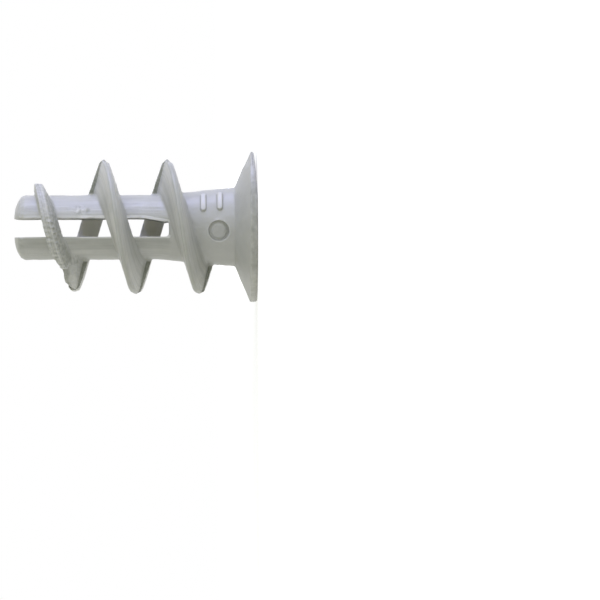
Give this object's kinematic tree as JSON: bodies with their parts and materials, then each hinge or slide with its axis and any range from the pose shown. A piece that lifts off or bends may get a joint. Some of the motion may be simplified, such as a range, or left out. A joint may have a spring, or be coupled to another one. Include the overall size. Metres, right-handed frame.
{
  "type": "plasterboard plug",
  "caption": "Self-drilling nylon plug for plasterboard: a coarse right-hand thread on a split shank, with a flat round head, a cross recess and a bore for the screw.",
  "frame": {"origin": "centre of the head's flat outer face", "axes": "+Z along the axis from the head to the split tip; the two slots face -Y and +Y, so the prongs lie on -X and +X"},
  "size_m": [0.0137, 0.0136, 0.022],
  "materials": {
    "nylon": "satin grey moulded nylon"
  },
  "bodies": {
    "root": {"plug_body": "nylon"}
  },
  "joints": []
}
